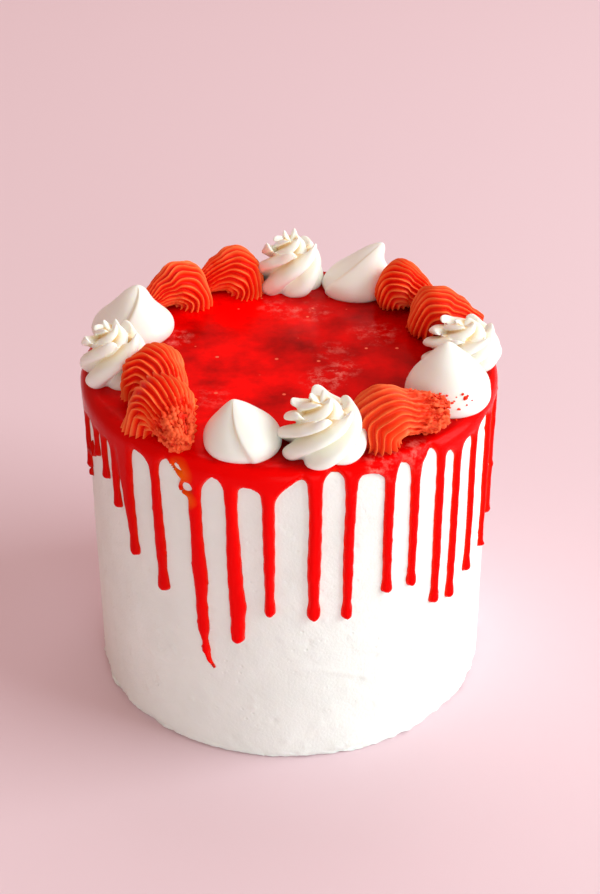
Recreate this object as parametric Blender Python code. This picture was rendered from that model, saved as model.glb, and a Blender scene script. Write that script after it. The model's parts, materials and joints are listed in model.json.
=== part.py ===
"""A tall drip cake.

A round cake stands under a coat of white buttercream. A thin red glaze covers its top and runs down the side
in drips. Round the rim stands a ring of piped toppings, each its own solid: star rosettes, plain dollops with
a pulled peak, and ridged ruffles that end in a tail.

Metres, +Z up. The origin is the centre of the base, and the front is towards -Y.
"""

import math
import random

import bmesh
import bpy
from mathutils import Matrix, Vector

MM = 0.001

# The cake with its coat of buttercream.
CAKE_RADIUS = 80 * MM
CAKE_HEIGHT = 134 * MM
CAKE_SEGMENTS = 72
TOP_EDGE_ROUND = 3 * MM
FOOT_HEIGHT = 4 * MM
FOOT_WAVE = 0.5 * MM

# The glaze: a skin over the top and the edge, with drips below its scalloped hem.
GLAZE_THICKNESS = 1.3 * MM
GLAZE_CLEARANCE = 0.5 * MM
GLAZE_EDGE_ROUND = 4 * MM
DRIP_SHOULDER = 4.5 * MM

# Front drips, from the left side to the right: angle from the front, width, length from the top face, and
# how low the hem hangs in the gap that follows. Degrees, then millimetres.
FRONT_DRIPS = [
    (-77.0, 3.4, 35, 13),
    (-66.0, 3.6, 20, 10),
    (-59.7, 3.8, 27, 9),
    (-54.0, 4.2, 36, 12),
    (-48.0, 6.0, 53, 5),
    (-36.6, 5.2, 62, 4),
    (-24.6, 5.2, 88, 6),
    (-13.9, 5.6, 78, 8),
    (-5.0, 4.8, 64, 6),
    (7.0, 5.2, 66, 4),
    (16.2, 4.6, 67, 6),
    (27.5, 4.4, 59, 5),
    (35.5, 4.2, 60, 5),
    (44.3, 4.4, 74, 9),
    (51.4, 4.4, 76, 8),
    (60.4, 4.4, 71, 8),
    (72.0, 3.6, 70, 12),
    (84.0, 3.6, 60, 8),
]
# The drips round the back are spread by a seeded draw within these limits.
BACK_DRIP_COUNT = 19
BACK_DRIP_SEED = 5
BACK_DRIP_ANGLES = (94.0, 274.0)
BACK_DRIP_WIDTHS = (3.8, 5.4)
BACK_DRIP_LENGTHS = (34, 84)
BACK_HEM_DEPTHS = (5, 10)

# The toppings stand on the glaze, just clear of it.
TOPPING_CLEARANCE = 0.3 * MM
TOPPING_BASE = CAKE_HEIGHT + GLAZE_CLEARANCE + GLAZE_THICKNESS + TOPPING_CLEARANCE

# Each topping's place is its angle from the front (towards the right) and its distance from the axis. A
# lean or a heading is a direction in plan: 0 is to the right, 90 is to the back. Degrees and millimetres.
# name: angle, distance, width, height, arms, twist, lean heading, lean
ROSETTES = {
    "rosette_1": (180.0, 64.0, 27, 26, 6, 80, 90, 1.0),
    "rosette_2": (90.0, 68.0, 28, 19, 7, 70, 20, 1.0),
    "rosette_3": (10.5, 67.5, 30, 24, 7, 95, 100, 1.5),
    "rosette_4": (-79.0, 68.0, 27, 25, 6, 75, 160, 1.5),
}
# name: angle, distance, width, height, lean heading, lean, crease heading
DOLLOPS = {
    "dollop_1": (155.5, 67.5, 30, 21, 10, 6.0, 200),
    "dollop_2": (63.2, 67.5, 33, 23, 60, 2.0, 250),
    "dollop_3": (-14.5, 66.0, 29, 19, 150, 1.5, 270),
    "dollop_4": (-109.0, 67.0, 33, 21, 20, 2.0, 270),
}
# name: angle, distance, length, width, height, heading of the tail
RUFFLES = {
    "ruffle_1": (131.2, 66.0, 23, 21, 19, -30),
    "ruffle_2": (110.0, 66.5, 27, 19, 18, -5),
    "ruffle_3": (37.2, 67.0, 31, 25, 20, 20),
    "ruffle_4": (-37.2, 69.5, 29, 25, 21, -62),
    "ruffle_5": (-58.0, 55.5, 20, 24, 19, -45),
    "ruffle_6": (-133.5, 66.0, 24, 20, 17, 205),
    "ruffle_7": (-156.5, 64.0, 25, 20, 18, 190),
}
RUFFLE_RIDGES = 8
RUFFLE_RIDGE_DEPTH = 0.13

# Rings of a rosette from its base to its tip: height, crest and groove, as parts of the height and half width.
ROSETTE_PROFILE = [
    (0.00, 0.90, 0.62),
    (0.14, 1.00, 0.62),
    (0.36, 0.96, 0.56),
    (0.56, 0.78, 0.44),
    (0.73, 0.52, 0.30),
    (0.88, 0.28, 0.17),
    (1.00, 0.07, 0.05),
]
# Rings of a dollop from its base to its peak: height and half width.
DOLLOP_PROFILE = [
    (0.00, 0.92),
    (0.10, 1.00),
    (0.28, 0.97),
    (0.46, 0.83),
    (0.62, 0.61),
    (0.76, 0.37),
    (0.88, 0.18),
    (1.00, 0.04),
]
DOLLOP_SIDES = 16
# Stations of a ruffle from its head to its tail: place along the length, half width and height.
RUFFLE_PROFILE = [
    (0.00, 0.34, 0.30),
    (0.05, 0.68, 0.62),
    (0.16, 0.93, 0.90),
    (0.31, 1.00, 1.00),
    (0.50, 0.92, 0.86),
    (0.70, 0.70, 0.62),
    (0.87, 0.46, 0.42),
    (1.00, 0.22, 0.24),
]


def clear_scene():
    for obj in list(bpy.data.objects):
        bpy.data.objects.remove(obj, do_unlink=True)


def make_material(name, color, roughness):
    material = bpy.data.materials.new(name)
    material.use_nodes = True
    shader = material.node_tree.nodes["Principled BSDF"]
    shader.inputs["Base Color"].default_value = (*color, 1.0)
    shader.inputs["Roughness"].default_value = roughness
    shader.inputs["Metallic"].default_value = 0.0
    return material


def add_object(name, build, material, smooth_angle=50):
    """Turns a bmesh into a named object with its faces pointing out."""
    bmesh.ops.recalc_face_normals(build, faces=build.faces)
    mesh = bpy.data.meshes.new(name)
    build.to_mesh(mesh)
    build.free()
    mesh.shade_smooth()
    mesh.set_sharp_from_angle(angle=math.radians(smooth_angle))
    mesh.materials.append(material)
    obj = bpy.data.objects.new(name, mesh)
    bpy.context.scene.collection.objects.link(obj)
    return obj


def loft(rings):
    """A closed bmesh through rings of equally many points, with a flat cap at each end."""
    build = bmesh.new()
    loops = [[build.verts.new(point) for point in ring] for ring in rings]
    count = len(rings[0])
    for lower, upper in zip(loops, loops[1:]):
        for i in range(count):
            j = (i + 1) % count
            build.faces.new((lower[i], lower[j], upper[j], upper[i]))
    build.faces.new(list(reversed(loops[0])))
    build.faces.new(loops[-1])
    return build


def polar(radius, angle, z):
    """A point at an angle from the front (-Y) towards the right (+X)."""
    return Vector((radius * math.sin(angle), -radius * math.cos(angle), z))


def heading_vector(degrees, length):
    return Vector((math.cos(math.radians(degrees)), math.sin(math.radians(degrees)), 0.0)) * length


def make_cake(material):
    """The coated cake: straight sides, a rounded top edge and a slightly uneven foot."""
    rings = []
    radii = [
        (0.0, CAKE_RADIUS - 1.2 * MM, 1.0),
        (0.9 * MM, CAKE_RADIUS - 0.1 * MM, 1.0),
        (FOOT_HEIGHT, CAKE_RADIUS, 0.0),
        (CAKE_HEIGHT - TOP_EDGE_ROUND, CAKE_RADIUS, 0.0),
        (CAKE_HEIGHT - 0.3 * TOP_EDGE_ROUND, CAKE_RADIUS - 0.3 * TOP_EDGE_ROUND, 0.0),
        (CAKE_HEIGHT, CAKE_RADIUS - TOP_EDGE_ROUND, 0.0),
    ]
    for z, radius, wave in radii:
        ring = []
        for i in range(CAKE_SEGMENTS):
            angle = 2 * math.pi * i / CAKE_SEGMENTS
            ripple = math.sin(7 * angle) + 0.6 * math.sin(17 * angle + 1.0)
            ring.append(polar(radius + wave * FOOT_WAVE * ripple / 1.6, angle, z))
        rings.append(ring)
    return add_object("cake_body", loft(rings), material)


def all_drips():
    """Every drip round the cake: angle in radians, width, length and the hem depth after it, in metres."""
    draw = random.Random(BACK_DRIP_SEED)
    first, last = BACK_DRIP_ANGLES
    drips = list(FRONT_DRIPS)
    for i in range(BACK_DRIP_COUNT):
        step = (last - first) / (BACK_DRIP_COUNT - 1)
        angle = first + step * (i + draw.uniform(-0.14, 0.14))
        width = draw.uniform(*BACK_DRIP_WIDTHS)
        length = draw.uniform(*BACK_DRIP_LENGTHS)
        drips.append((angle, width, length, draw.uniform(*BACK_HEM_DEPTHS)))
    return [(math.radians(a), w * MM, n * MM, hem * MM) for a, w, n, hem in drips]


def make_glaze(material):
    """The glaze as an outer sheet of top, edge, scalloped hem and drips, made solid inwards."""
    top = CAKE_HEIGHT + GLAZE_CLEARANCE + GLAZE_THICKNESS
    outer = CAKE_RADIUS + GLAZE_CLEARANCE + GLAZE_THICKNESS
    drips = all_drips()
    build = bmesh.new()

    def point(radius, angle, depth):
        return build.verts.new(polar(radius, angle, top - depth))

    columns = []
    for i, (angle, width, _length, hem) in enumerate(drips):
        half = width / 2 / CAKE_RADIUS
        following = drips[(i + 1) % len(drips)]
        next_angle = following[0] + (2 * math.pi if i + 1 == len(drips) else 0.0)
        gap_start, gap_end = angle + half, next_angle - following[1] / 2 / CAKE_RADIUS
        hem_before = drips[i - 1][3]
        columns.append((angle - half, hem_before + DRIP_SHOULDER))
        columns.append((angle + half, hem + DRIP_SHOULDER))
        columns.append(((gap_start + gap_end) / 2, hem))

    rim, edge, side, hem_line = [], [], [], []
    for angle, depth in columns:
        rim.append(point(outer - GLAZE_EDGE_ROUND, angle, 0.0))
        edge.append(point(outer - 0.3 * GLAZE_EDGE_ROUND, angle, 0.3 * GLAZE_EDGE_ROUND))
        side.append(point(outer, angle, GLAZE_EDGE_ROUND))
        hem_line.append(point(outer, angle, max(depth, GLAZE_EDGE_ROUND + 0.8 * MM)))
    build.faces.new(rim)
    for upper, lower in ((rim, edge), (edge, side), (side, hem_line)):
        for i in range(len(columns)):
            j = (i + 1) % len(columns)
            build.faces.new((upper[i], lower[i], lower[j], upper[j]))

    # Each drip narrows below its shoulders, swells into a bulb and ends round.
    drip_rows = [(0.35, 0.86), (0.86, 0.94), (0.955, 1.06), (1.0, 0.55)]
    for i, (angle, width, length, _hem) in enumerate(drips):
        left, right = hem_line[3 * i], hem_line[3 * i + 1]
        shoulder = max(top - left.co.z, top - right.co.z)
        for part, width_part in drip_rows:
            half = width_part * width / 2 / CAKE_RADIUS
            depth = shoulder + (length - shoulder) * part
            new_left, new_right = point(outer, angle - half, depth), point(outer, angle + half, depth)
            build.faces.new((left, new_left, new_right, right))
            left, right = new_left, new_right

    glaze = add_object("glaze", build, material)
    solidify = glaze.modifiers.new("thickness", "SOLIDIFY")
    solidify.thickness = GLAZE_THICKNESS
    solidify.offset = -1.0
    return glaze


def stand_on_cake(obj, angle, distance, parent):
    """Stands a topping, modelled round its own base centre, at its place on the glaze."""
    obj.location = polar(distance * MM, math.radians(angle), TOPPING_BASE)
    obj.parent = parent


def make_rosette(name, spec, material, parent):
    """A star of rounded arms that twists and closes as it rises."""
    angle, distance, width, height, arms, twist, lean_heading, lean = spec
    rings = []
    for part, crest, groove in ROSETTE_PROFILE:
        shift = heading_vector(lean_heading, lean * MM * part**2)
        flank = groove + 0.72 * (crest - groove)
        turn = math.radians(twist) * part**1.2
        ring = []
        for i in range(4 * arms):
            reach = (groove, flank, crest, flank)[i % 4]
            around = 2 * math.pi * i / (4 * arms) + turn
            outward = Vector((math.cos(around), math.sin(around), 0.0)) * (reach * width * MM / 2)
            ring.append(outward + shift + Vector((0, 0, part * height * MM)))
        rings.append(ring)
    rosette = add_object(name, loft(rings), material, smooth_angle=70)
    stand_on_cake(rosette, angle, distance, parent)


def make_dollop(name, spec, material, parent):
    """A round mound drawn up into a peak that leans over, with a crease below the peak."""
    angle, distance, width, height, lean_heading, lean, crease_heading = spec
    rings = []
    for part, reach in DOLLOP_PROFILE:
        shift = heading_vector(lean_heading, lean * MM * part**2)
        ring = []
        for i in range(DOLLOP_SIDES):
            around = 2 * math.pi * i / DOLLOP_SIDES
            off = (around - math.radians(crease_heading) + math.pi) % (2 * math.pi) - math.pi
            crease = 1.0 - 0.16 * math.exp(-((off / 0.3) ** 2)) * math.sin(math.pi * part)
            outward = Vector((math.cos(around), math.sin(around), 0.0))
            ring.append(outward * (reach * crease * width * MM / 2) + shift + Vector((0, 0, part * height * MM)))
        rings.append(ring)
    dollop = add_object(name, loft(rings), material, smooth_angle=60)
    stand_on_cake(dollop, angle, distance, parent)


def ruffle_section(half_width, height, x):
    """One ridged arch of a ruffle, standing across its length, closed flat along the base."""
    ring = []
    steps = 2 * RUFFLE_RIDGES
    sweep = math.radians(118)
    for i in range(steps + 1):
        around = sweep * (1 - 2 * i / steps)
        reach = 1.0 if i % 2 == 0 else 1.0 - RUFFLE_RIDGE_DEPTH
        y = half_width * math.sin(around) * reach
        z = height * (0.32 + 0.68 * math.cos(around) * reach)
        ring.append(Vector((x, y, max(z, 0.0))))
    ring.append(Vector((x, -half_width * 0.3, 0.0)))
    ring.append(Vector((x, half_width * 0.3, 0.0)))
    return ring


def make_ruffle(name, spec, material, parent):
    """A ridged mound that swells at its head and is pulled out to a tail."""
    angle, distance, length, width, height, heading = spec
    rings = []
    for place, width_part, height_part in RUFFLE_PROFILE:
        x = (place - 0.5) * length * MM
        rings.append(ruffle_section(width_part * width * MM / 2, height_part * height * MM, x))
    build = loft(rings)
    bmesh.ops.rotate(build, verts=build.verts, matrix=Matrix.Rotation(math.radians(heading), 3, "Z"))
    ruffle = add_object(name, build, material, smooth_angle=70)
    stand_on_cake(ruffle, angle, distance, parent)


def main():
    clear_scene()
    buttercream = make_material("white_buttercream", (0.90, 0.87, 0.82), 0.55)
    glaze = make_material("red_glaze", (0.55, 0.004, 0.006), 0.12)
    cream_topping = make_material("piped_cream", (0.93, 0.91, 0.86), 0.50)
    red_topping = make_material("piped_red_buttercream", (0.85, 0.09, 0.03), 0.55)
    cake = bpy.data.objects.new("drip_cake", None)
    bpy.context.scene.collection.objects.link(cake)
    make_cake(buttercream).parent = cake
    make_glaze(glaze).parent = cake
    for name, spec in ROSETTES.items():
        make_rosette(name, spec, cream_topping, cake)
    for name, spec in DOLLOPS.items():
        make_dollop(name, spec, cream_topping, cake)
    for name, spec in RUFFLES.items():
        make_ruffle(name, spec, red_topping, cake)


main()
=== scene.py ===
# %% [markdown]
# # A drip cake with a ring of piped toppings
#
# The cake is a tall round sponge under white buttercream. A red glaze covers its top and has run down its
# side in long drips. Fifteen toppings stand in a ring on the glaze: white rosettes, smooth white dollops,
# and shells piped from a red buttercream with a many-toothed nozzle.
#
# The imported solids are loaded first. They give the cake's size, the thickness of the glaze, and the place of
# every topping with the size of the rosettes and dollops. The drips, the shells' sizes and the colours were
# judged.

import json
import math
import random

import bmesh
import bpy
import numpy as np
from mathutils import Matrix, Vector, noise
from mathutils.kdtree import KDTree

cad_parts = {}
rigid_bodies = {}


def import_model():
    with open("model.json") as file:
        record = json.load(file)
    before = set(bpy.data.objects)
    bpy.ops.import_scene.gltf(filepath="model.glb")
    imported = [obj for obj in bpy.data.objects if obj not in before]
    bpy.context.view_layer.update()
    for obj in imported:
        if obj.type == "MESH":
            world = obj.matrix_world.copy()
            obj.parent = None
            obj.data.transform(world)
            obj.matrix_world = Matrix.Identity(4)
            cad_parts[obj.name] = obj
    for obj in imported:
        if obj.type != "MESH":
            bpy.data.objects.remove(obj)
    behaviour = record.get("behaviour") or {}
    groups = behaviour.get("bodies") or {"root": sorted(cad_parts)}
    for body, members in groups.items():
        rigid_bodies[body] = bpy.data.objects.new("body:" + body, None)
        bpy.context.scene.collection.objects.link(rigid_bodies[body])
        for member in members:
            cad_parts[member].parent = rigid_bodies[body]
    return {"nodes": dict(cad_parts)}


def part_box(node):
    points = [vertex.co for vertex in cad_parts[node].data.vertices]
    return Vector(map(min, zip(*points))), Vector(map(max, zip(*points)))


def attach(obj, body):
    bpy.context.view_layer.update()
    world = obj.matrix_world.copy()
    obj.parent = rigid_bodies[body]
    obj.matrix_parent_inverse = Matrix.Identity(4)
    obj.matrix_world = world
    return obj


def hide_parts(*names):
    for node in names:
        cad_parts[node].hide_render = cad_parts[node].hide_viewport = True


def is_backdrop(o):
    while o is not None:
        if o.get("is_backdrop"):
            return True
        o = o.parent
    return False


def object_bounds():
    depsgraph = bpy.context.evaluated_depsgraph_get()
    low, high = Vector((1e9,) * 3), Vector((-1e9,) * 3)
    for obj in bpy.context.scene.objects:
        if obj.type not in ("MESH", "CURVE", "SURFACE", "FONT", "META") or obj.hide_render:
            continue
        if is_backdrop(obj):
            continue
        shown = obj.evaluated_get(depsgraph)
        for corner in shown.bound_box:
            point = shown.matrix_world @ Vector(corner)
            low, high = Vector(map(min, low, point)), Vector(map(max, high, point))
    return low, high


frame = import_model()
cad_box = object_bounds()
MM = 0.001

body_low, body_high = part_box("cake_body")
CAKE_RADIUS = (body_high.x - body_low.x) / 2
CAKE_HEIGHT = body_high.z
GLAZE_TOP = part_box("glaze")[1].z
print("nodes:", len(frame["nodes"]))
print(f"cake: {2 * CAKE_RADIUS / MM:.1f} mm across, {CAKE_HEIGHT / MM:.1f} mm high")
print(f"glaze top: {GLAZE_TOP / MM:.1f} mm")

# %% [markdown]
# ## Colours and nodes
#
# Colours are written as web hex values, which are sRGB, while shader sockets take linear light. One function
# turns the first into the second. Another adds a shader node with its settings and its links, because every
# material below needs a dozen of them.


# %% Helpers for colours and nodes
def linear(hex_colour):
    """A web colour as the linear RGBA that a shader socket takes."""
    values = [int(hex_colour[i : i + 2], 16) / 255 for i in (1, 3, 5)]
    return (*(v / 12.92 if v <= 0.04045 else ((v + 0.055) / 1.055) ** 2.4 for v in values), 1.0)


def add_node(tree, kind, links=None, sockets=None, stops=(), **settings):
    """Adds a node, sets its properties, sockets and ramp stops, and links other nodes' outputs to it."""
    node = tree.nodes.new(kind)
    for name, value in settings.items():
        setattr(node, name, value)
    for name, value in (sockets or {}).items():
        node.inputs[name].default_value = value
    for name, output in (links or {}).items():
        tree.links.new(output, node.inputs[name])
    if stops:
        elements = node.color_ramp.elements
        while len(elements) < len(stops):
            elements.new(0.5)
        for element, (place, colour) in zip(elements, stops):
            element.position = place
            element.color = linear(colour)
    return node


def new_material(name):
    """An empty node material with its output node."""
    material = bpy.data.materials.new(name)
    material.use_nodes = True
    material.node_tree.nodes.clear()
    output = material.node_tree.nodes.new("ShaderNodeOutputMaterial")
    return material, material.node_tree, output


print("red in linear light:", [round(v, 3) for v in linear("#C80A05")])

# %% [markdown]
# ## Helpers for modelling
#
# Piped cream is modelled the way it is piped: a ring is drawn round the foot, and then it is extruded, moved,
# resized and turned, again and again, up to the tip. Every vertex keeps two numbers that the later steps read.
# `around` is its place in the ring, and `along` is how far up the piece its ring is.


# %% Helpers for rings
def deselect_all():
    """Back to object mode with nothing selected, so that an operator acts on the new piece only."""
    if bpy.context.mode != "OBJECT":
        bpy.ops.object.mode_set(mode="OBJECT")
    bpy.ops.object.select_all(action="DESELECT")


def start_ring(name, sides, radius, centre):
    """A circle with its `around` and `along` numbers, left in edit mode with all of it selected."""
    deselect_all()
    bpy.ops.mesh.primitive_circle_add(vertices=sides, radius=radius, location=centre, fill_type="NOTHING")
    piece = bpy.context.object
    piece.name = name
    bpy.ops.object.transform_apply(location=True, rotation=True, scale=True)
    around = piece.data.attributes.new("around", "FLOAT", "POINT")
    around.data.foreach_set("value", [i / sides for i in range(sides)])
    piece.data.attributes.new("along", "FLOAT", "POINT")
    bpy.ops.object.mode_set(mode="EDIT")
    bpy.ops.mesh.select_all(action="SELECT")
    return piece


def shape_ring(piece, change):
    """Moves each vertex of the selected ring: change(around, place) gives its new place."""
    edit = bmesh.from_edit_mesh(piece.data)
    layer = edit.verts.layers.float["around"]
    for vertex in edit.verts:
        if vertex.select:
            vertex.co = change(vertex[layer], vertex.co)
    bmesh.update_edit_mesh(piece.data)


def extrude_ring(piece, along, slide=(0, 0, 0), centre=(0, 0, 0), grow=(1, 1, 1), turns=()):
    """Extrudes the selected ring, slides it, resizes and turns it about the centre, and writes its `along`."""
    bpy.ops.mesh.extrude_region_move(TRANSFORM_OT_translate={"value": slide})
    bpy.ops.transform.resize(value=grow, center_override=centre)
    for axis, degrees in turns:
        bpy.ops.transform.rotate(value=-math.radians(degrees), orient_axis=axis, center_override=centre)
    edit = bmesh.from_edit_mesh(piece.data)
    layer = edit.verts.layers.float["along"]
    for vertex in edit.verts:
        if vertex.select:
            vertex[layer] = along
    bmesh.update_edit_mesh(piece.data)


def finish_mesh(piece, subdivisions):
    """Rounds the piece with a Subdivision Surface modifier, then closes its ends and shades it smooth.

    The ends are filled after the subdivision, because a pole where a hundred edges meet makes it very slow.
    """
    bpy.ops.object.mode_set(mode="OBJECT")
    if subdivisions:
        modifier = piece.modifiers.new("round", "SUBSURF")
        modifier.levels = modifier.render_levels = subdivisions
        bpy.ops.object.modifier_apply(modifier=modifier.name)
    bpy.ops.object.mode_set(mode="EDIT")
    bpy.ops.mesh.select_all(action="SELECT")
    bpy.ops.mesh.fill_holes(sides=0)
    bpy.ops.mesh.select_all(action="SELECT")
    bpy.ops.mesh.normals_make_consistent(inside=False)
    bpy.ops.object.mode_set(mode="OBJECT")
    bpy.ops.object.shade_smooth()


def values_of(items, name, width):
    """One property of a mesh's vertices or attribute values, as an array with a row for each."""
    values = np.empty(len(items) * width, np.float32)
    items.foreach_get(name, values)
    return values.reshape(-1, width).astype(float)


def points_of(piece):
    return values_of(piece.data.vertices, "co", 3)


def normals_of(piece):
    return values_of(piece.data.vertex_normals, "vector", 3)


def numbers_of(piece, name):
    return values_of(piece.data.attributes[name].data, "value", 1)[:, 0]


def set_points(piece, points):
    piece.data.vertices.foreach_set("co", np.asarray(points, np.float32).ravel())
    piece.data.update()


def store_numbers(piece, name, values):
    attribute = piece.data.attributes.get(name) or piece.data.attributes.new(name, "FLOAT", "POINT")
    attribute.data.foreach_set("value", np.asarray(values, np.float32))


def rough(points, size, seed=0.0):
    """Smooth noise from -1 to 1 at each point, whose lumps are about that size."""
    offset = Vector((seed, seed * 1.7, -seed))
    return np.array([noise.noise(Vector(point) / size + offset) for point in points])


def finish_piece(piece, material, slot, *nodes):
    """The material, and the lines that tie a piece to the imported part."""
    piece.data.materials.clear()
    piece.data.materials.append(material)
    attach(piece, "root")
    if nodes:
        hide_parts(*nodes)
    piece.data.calc_loop_triangles()
    print(f"{piece.name}: {len(piece.data.loop_triangles)} triangles")


# %% [markdown]
# ## The buttercream body
#
# Buttercream is butter beaten with sugar. It is spread on with a palette knife and scraped round with a flat
# scraper, which leaves it matt and nearly white, with soft waves, small pits where air bubbles broke, and a
# few faint lines. It could be a plain cylinder with a bump map, but its foot and its edges show in outline,
# so the waves and the pits are moved into the mesh.

# %% Relief of the side
EDGE_ROUND = 3.5 * MM
PIT_COUNT = 420
pit_random = random.Random(11)
PITS = [
    (
        pit_random.uniform(-math.pi, math.pi),
        pit_random.uniform(4, 128) * MM,
        pit_random.uniform(0.9, 2.0) * MM,
        pit_random.uniform(-0.55, 0.5) * MM,
    )
    for _ in range(PIT_COUNT)
]
# Faint lines that the corner of the scraper left: from angle and height, to angle and height, depth in mm.
SCRAPES = [(2, 46, 24, 35, 0.448), (-30, 52, -18, 55, 0.32), (30, 30, 44, 46, 0.32),
           (-62, 70, -52, 80, 0.352), (100, 60, 125, 52, 0.448), (160, 40, 185, 52, 0.4),
           (-120, 70, -140, 61, 0.4), (-95, 30, -80, 38, 0.32)]


def side_relief(angles, heights):
    """How far the buttercream stands out from a true cylinder, in metres, at each angle and height."""
    around = angles * CAKE_RADIUS
    half_girth = math.pi * CAKE_RADIUS
    points = np.stack([np.cos(angles) * CAKE_RADIUS, np.sin(angles) * CAKE_RADIUS, heights], 1)
    relief = 0.34 * MM * rough(points * (1, 1, 0.6), 34 * MM, 3.0)
    relief += 0.16 * MM * rough(points * (1, 1, 0.8), 9 * MM, 8.0)
    relief += 0.09 * MM * rough(points * (0.6, 0.6, 1), 3.0 * MM, 5.0)
    for angle, height, width, depth in PITS:
        across = (angles - angle + math.pi) % (2 * math.pi) - math.pi
        distance = ((across * CAKE_RADIUS) ** 2 + (heights - height) ** 2) / width**2
        relief += depth * np.exp(-np.minimum(distance * 2, 40))
    for angle_1, height_1, angle_2, height_2, depth in SCRAPES:
        start = np.array([math.radians(angle_1) * CAKE_RADIUS, height_1 * MM])
        run = np.array([math.radians(angle_2) * CAKE_RADIUS, height_2 * MM]) - start
        offset = (around - start[0] + half_girth) % (2 * half_girth) - half_girth
        share = np.clip((offset * run[0] + (heights - start[1]) * run[1]) / (run @ run), 0, 1)
        bow = 1.6 * MM * np.sin(share * math.pi)
        distance = np.hypot(offset - share * run[0], heights - start[1] - share * run[1] - bow)
        relief += depth * MM * np.sin(share * math.pi) * np.exp(-((distance / (0.9 * MM)) ** 2))
    # The relief dies away at the top edge, so that the glaze lies on a true round.
    return relief * np.clip((CAKE_HEIGHT - heights) / (10 * MM), 0, 1)


print("relief at the front, 60 mm up:", side_relief(np.zeros(1), np.full(1, 0.06)) / MM, "mm")

# %% The body, ring by ring
BODY_SIDES = 136
# Height in mm and radius as a share of the cake's, from the middle of the base to the middle of the top.
BASE_START = 0.35
BODY_RINGS = [(0, 0.7), (0, 0.98), (0.1, 0.994), (0.7, 1.0), (2.4, 1.0)]
BODY_RINGS += [(2.4 + 127.6 * i / 29, 1.0) for i in range(1, 30)]
BODY_RINGS += [(131.6, 0.996), (133.0, 0.984), (133.8, 0.965), (134, 0.93), (134, 0.6), (134, 0.3)]


def make_body():
    body = start_ring("buttercream_body", BODY_SIDES, CAKE_RADIUS * BASE_START, (0, 0, 0))
    height, share = 0.0, BASE_START
    for level, (next_height, next_share) in enumerate(BODY_RINGS):
        grow = next_share / share
        extrude_ring(
            body,
            level / len(BODY_RINGS),
            slide=(0, 0, (next_height - height) * MM),
            centre=(0, 0, next_height * MM),
            grow=(grow, grow, 1),
        )
        height, share = next_height, next_share
    finish_mesh(body, 2)
    return body


def spread_buttercream(body):
    """Moves the side out and in by its relief, and breaks up the foot."""
    points = points_of(body)
    radius = np.hypot(points[:, 0], points[:, 1])
    angles = np.arctan2(points[:, 0], -points[:, 1])
    side = np.clip((radius / CAKE_RADIUS - 0.9) / 0.07, 0, 1)
    relief = side_relief(angles, points[:, 2]) * side
    # The scraper doesn't reach the board, so the foot is ragged: it is pulled in here and squeezed out there.
    ring = np.stack([np.cos(angles), np.sin(angles), points[:, 2] / (20 * MM)], 1)
    foot = np.exp(-((points[:, 2] / (3.2 * MM)) ** 2)) * side
    ragged = 0.8 * rough(ring, 0.16, 2.0) + 0.7 * rough(ring, 0.05, 6.0) + 0.5 * rough(ring, 0.022, 4.0)
    relief += foot * (ragged - 0.25) * MM
    points[:, :2] *= (1 + relief / np.maximum(radius, 1 * MM))[:, None]
    lift = foot * np.clip(rough(ring, 0.07, 9.0), 0, 1) * 1.1 * MM
    points[:, 2] += lift
    set_points(body, points)


body = make_body()
spread_buttercream(body)
print("body rings:", len(BODY_RINGS), "vertices:", len(body.data.vertices))

# %% [markdown]
# ## Buttercream as a material
#
# Buttercream is an opaque fat and sugar paste: nearly white, with a broad dull sheen. Its colours here are a
# little cool, because the dim light that surrounds the cake is warm. Light enters it for a millimetre or so,
# which softens its small shadows. Its pattern is the fine open texture of whipped fat, about a millimetre, and
# bubbles of 1 to 2 mm.


# %% White buttercream
def make_buttercream():
    material, tree, output = new_material("whipped_white_buttercream")
    place = add_node(tree, "ShaderNodeTexCoord").outputs["Object"]
    # 40 per metre is a cloud of 25 mm, a little darker than the rest.
    cloud = add_node(tree, "ShaderNodeTexNoise", {"Vector": place}, {"Scale": 40.0, "Detail": 3.0})
    colour = add_node(tree, "ShaderNodeValToRGB", {"Fac": cloud.outputs["Fac"]},
                      stops=[(0.3, "#EEF4F0"), (0.7, "#F6FCF8")])
    # 900 per metre is a grain of 1.1 mm.
    grain = add_node(tree, "ShaderNodeTexNoise", {"Vector": place}, {"Scale": 900.0, "Detail": 4.0})
    bubbles = add_node(tree, "ShaderNodeTexVoronoi", {"Vector": place}, {"Scale": 260.0})
    pit = add_node(tree, "ShaderNodeMapRange", {"Value": bubbles.outputs["Distance"]},
                   {"From Min": 0.08, "From Max": 0.22})
    # The bubbles lie in patches of about 15 mm.
    patches = add_node(tree, "ShaderNodeTexNoise", {"Vector": place}, {"Scale": 65.0, "Detail": 2.0})
    patch = add_node(tree, "ShaderNodeMapRange", {"Value": patches.outputs["Fac"]},
                     {"From Min": 0.5, "From Max": 0.62})
    pitted = add_node(tree, "ShaderNodeMath", {0: pit.outputs["Result"], 1: patch.outputs["Result"]},
                      operation="MULTIPLY")
    height = add_node(tree, "ShaderNodeMath", {0: grain.outputs["Fac"], 1: pitted.outputs["Value"]},
                      operation="ADD")
    bump = add_node(tree, "ShaderNodeBump", {"Height": height.outputs["Value"]},
                    {"Strength": 0.6, "Distance": 0.00028})
    shader = add_node(tree, "ShaderNodeBsdfPrincipled",
                      {"Base Color": colour.outputs["Color"], "Normal": bump.outputs["Normal"]},
                      {"Roughness": 0.6, "IOR": 1.45, "Specular IOR Level": 0.25,
                       "Subsurface Weight": 0.12, "Subsurface Scale": 0.002,
                       "Subsurface Radius": (1.0, 0.7, 0.5)})
    tree.links.new(shader.outputs["BSDF"], output.inputs["Surface"])
    return material


buttercream = make_buttercream()
finish_piece(body, buttercream, "white_buttercream", "cake_body")

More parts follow.
